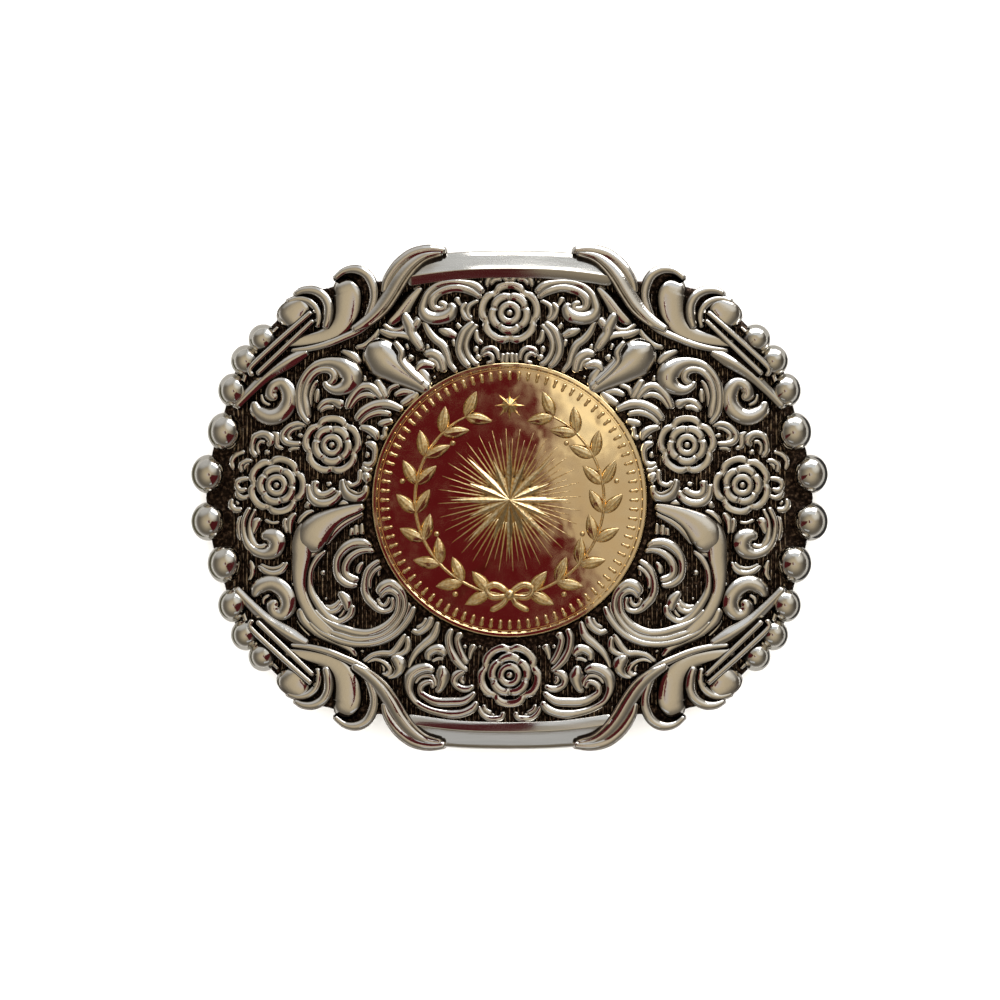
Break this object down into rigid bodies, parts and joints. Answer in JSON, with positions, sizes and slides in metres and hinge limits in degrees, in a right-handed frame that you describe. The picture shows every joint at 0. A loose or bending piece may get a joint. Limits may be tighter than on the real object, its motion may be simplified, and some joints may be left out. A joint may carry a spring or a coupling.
{
  "type": "western belt buckle",
  "caption": "Bowed western belt buckle: silver-tone casting with raised scrollwork, flowers and edge beads, a round gold medallion in the middle, and a belt loop and hook post behind.",
  "frame": {"origin": "under the middle of the buckle, on the surface that it lies on, face up", "axes": "+X to the right and +Y to the top of the buckle as it is worn, seen from the front; +Z out of its face. The belt loop is at -X and the hook post at +X."},
  "size_m": [0.0858, 0.0674, 0.0161],
  "materials": {
    "casting": "bright nickel plate with blackened recesses",
    "coin": "polished gold plate",
    "belt_loop": "nickel plated wire, satin",
    "hook_post": "nickel plated, satin"
  },
  "bodies": {
    "root": {"casting": "casting", "coin": "coin", "belt_loop": "belt_loop", "hook_post": "hook_post"}
  },
  "joints": []
}
